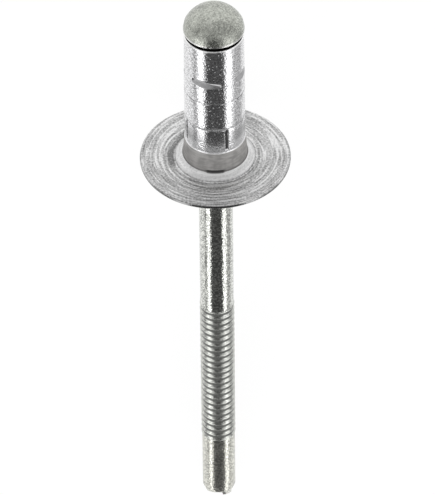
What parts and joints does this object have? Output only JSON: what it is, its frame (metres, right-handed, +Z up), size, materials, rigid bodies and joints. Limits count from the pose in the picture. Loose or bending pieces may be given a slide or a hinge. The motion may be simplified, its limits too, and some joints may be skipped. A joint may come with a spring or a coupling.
{
  "type": "pop rivet",
  "caption": "Large flange pop rivet, unset: an aluminium body with a wide flange on a steel mandrel with a domed head and a serrated pulling stem.",
  "frame": {"origin": "on the bench, under the middle of the lying rivet's outline", "axes": "+Y along the rivet as seen from above, from the pulling end to the domed head; +Z up from the bench; +X to the right with the head ahead. The rivet's own axis lies in the YZ plane and rises towards the head, because the flange's rim and the tail's end touch the bench."},
  "size_m": [0.016, 0.0706, 0.0159],
  "materials": {
    "body_aluminium": "bright drawn shank, satin turned flange",
    "mandrel_steel": "zinc-plated, fine grained"
  },
  "bodies": {
    "root": {"rivet_body": "body_aluminium", "mandrel": "mandrel_steel"}
  },
  "joints": []
}
